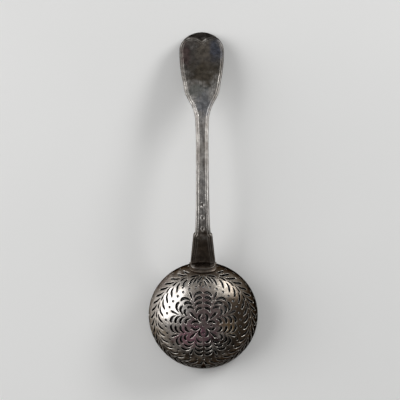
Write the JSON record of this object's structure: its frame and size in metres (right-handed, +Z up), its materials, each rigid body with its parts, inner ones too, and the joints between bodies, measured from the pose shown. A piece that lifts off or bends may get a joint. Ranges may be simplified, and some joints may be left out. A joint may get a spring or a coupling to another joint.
{
  "type": "sugar sifter spoon",
  "caption": "Spoon with a round pierced bowl for sifting sugar, a drop plate on the bowl's back and a long fiddle-shaped handle edged with threads, lying face down.",
  "frame": {"origin": "the bottom centre of the spoon's bounding box, on the table it lies on", "axes": "+Y runs along the spoon from its bowl to its handle's end, +Z is up with the bowl's back up, and +X is to the right seen from above with the handle away"},
  "size_m": [0.0664, 0.2068, 0.0308],
  "materials": {
    "bowl_silver": "silver polished by wear, with violet and brown tarnish round the piercing",
    "plate_silver": "silver with brown tarnish",
    "handle_silver": "silver bright on the stem, with grey-brown tarnish on the blade and the root"
  },
  "bodies": {
    "root": {"bowl": "bowl_silver", "drop_plate": "plate_silver", "handle": "handle_silver"}
  },
  "joints": []
}
